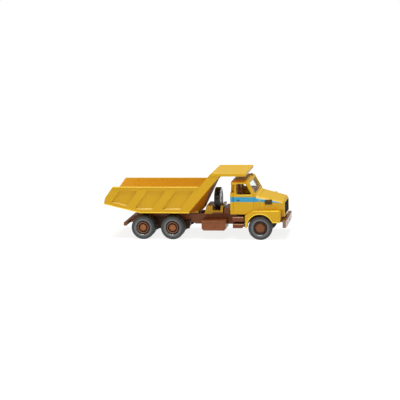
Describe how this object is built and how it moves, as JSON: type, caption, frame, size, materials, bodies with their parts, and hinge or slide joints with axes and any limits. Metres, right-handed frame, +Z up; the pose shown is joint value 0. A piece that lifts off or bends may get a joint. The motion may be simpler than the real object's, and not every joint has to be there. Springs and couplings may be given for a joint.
{
  "type": "scale model dump truck",
  "caption": "Plastic scale model of a bonneted dump truck: the canopied bed tips about a pin at the frame's tail, and the wheelsets roll.",
  "frame": {"origin": "centre of the footprint of the whole model's box, on the ground under the tyres", "axes": "+X forward, +Y to the driver's left, +Z up"},
  "size_m": [0.0958, 0.029, 0.0349],
  "materials": {
    "body_yellow": "satin moulded polystyrene, self-coloured yellow",
    "chassis_brown": "satin moulded polystyrene, self-coloured brown",
    "rim_brown": "satin moulded polystyrene, self-coloured brown",
    "tyre_vinyl": "soft dark grey vinyl with dusty sidewalls",
    "spare_black": "glossy black moulded plastic",
    "axle_steel": "plain drawn wire",
    "window_clear": "clear moulded polystyrene",
    "grille_black": "black painted relief",
    "lamp_lens": "silvery painted lens",
    "rear_lamp_red": "dark red painted lens",
    "beacon_olive": "dark amber moulded plastic",
    "interior_brown": "dull moulded polystyrene"
  },
  "bodies": {
    "chassis": {"bonnet": "body_yellow", "bumper": "chassis_brown", "cab_floor": "interior_brown", "cab_glazing": "window_clear", "cab_mount_block": "chassis_brown", "cab_seats": "interior_brown", "cab_shell": "body_yellow", "carrier_knob": "chassis_brown", "chassis_frame": "chassis_brown", "dashboard": "interior_brown", "driveline": "chassis_brown", "fender_left": "body_yellow", "fender_right": "body_yellow", "front_springs": "chassis_brown", "headlamps": "lamp_lens", "hinge_pin": "axle_steel", "radiator_grille": "grille_black", "rear_lamps": "rear_lamp_red", "rear_light_bar": "chassis_brown", "rear_springs": "chassis_brown", "roof_beacon": "beacon_olive", "side_intakes": "grille_black", "spare_rim": "spare_black", "spare_tyre": "spare_black", "spare_wheel_carrier": "body_yellow", "steering_wheel": "interior_brown", "steps_left": "chassis_brown", "steps_right": "chassis_brown", "tank_left": "chassis_brown", "tank_right": "chassis_brown"},
    "dump_bed": {"bed_floor": "body_yellow", "bed_side_right": "body_yellow", "bed_side_left": "body_yellow", "bed_front_wall": "body_yellow", "bed_canopy": "body_yellow", "bed_subframe": "body_yellow"},
    "front_wheelset": {"front_axle": "axle_steel", "front_rim_right": "rim_brown", "front_rim_left": "rim_brown", "front_tyre_right": "tyre_vinyl", "front_tyre_left": "tyre_vinyl"},
    "middle_wheelset": {"middle_axle": "axle_steel", "middle_rim_right": "rim_brown", "middle_rim_left": "rim_brown", "middle_tyres_right": "tyre_vinyl", "middle_tyres_left": "tyre_vinyl"},
    "rear_wheelset": {"rear_axle": "axle_steel", "rear_rim_right": "rim_brown", "rear_rim_left": "rim_brown", "rear_tyres_right": "tyre_vinyl", "rear_tyres_left": "tyre_vinyl"}
  },
  "joints": [
    {"name": "tip_bed", "type": "hinge", "parent": "chassis", "child": "dump_bed", "pos_m": [-0.02955, 0, 0.0126], "axis": [0, -1, 0], "range_deg": [0, 45]},
    {"name": "roll_front", "type": "hinge", "parent": "chassis", "child": "front_wheelset", "pos_m": [0.03425, 0, 0.0062], "axis": [0, 1, 0], "continuous": true},
    {"name": "roll_middle", "type": "hinge", "parent": "chassis", "child": "middle_wheelset", "pos_m": [-0.0118, 0, 0.0062], "axis": [0, 1, 0], "continuous": true},
    {"name": "roll_rear", "type": "hinge", "parent": "chassis", "child": "rear_wheelset", "pos_m": [-0.02755, 0, 0.0062], "axis": [0, 1, 0], "continuous": true}
  ]
}
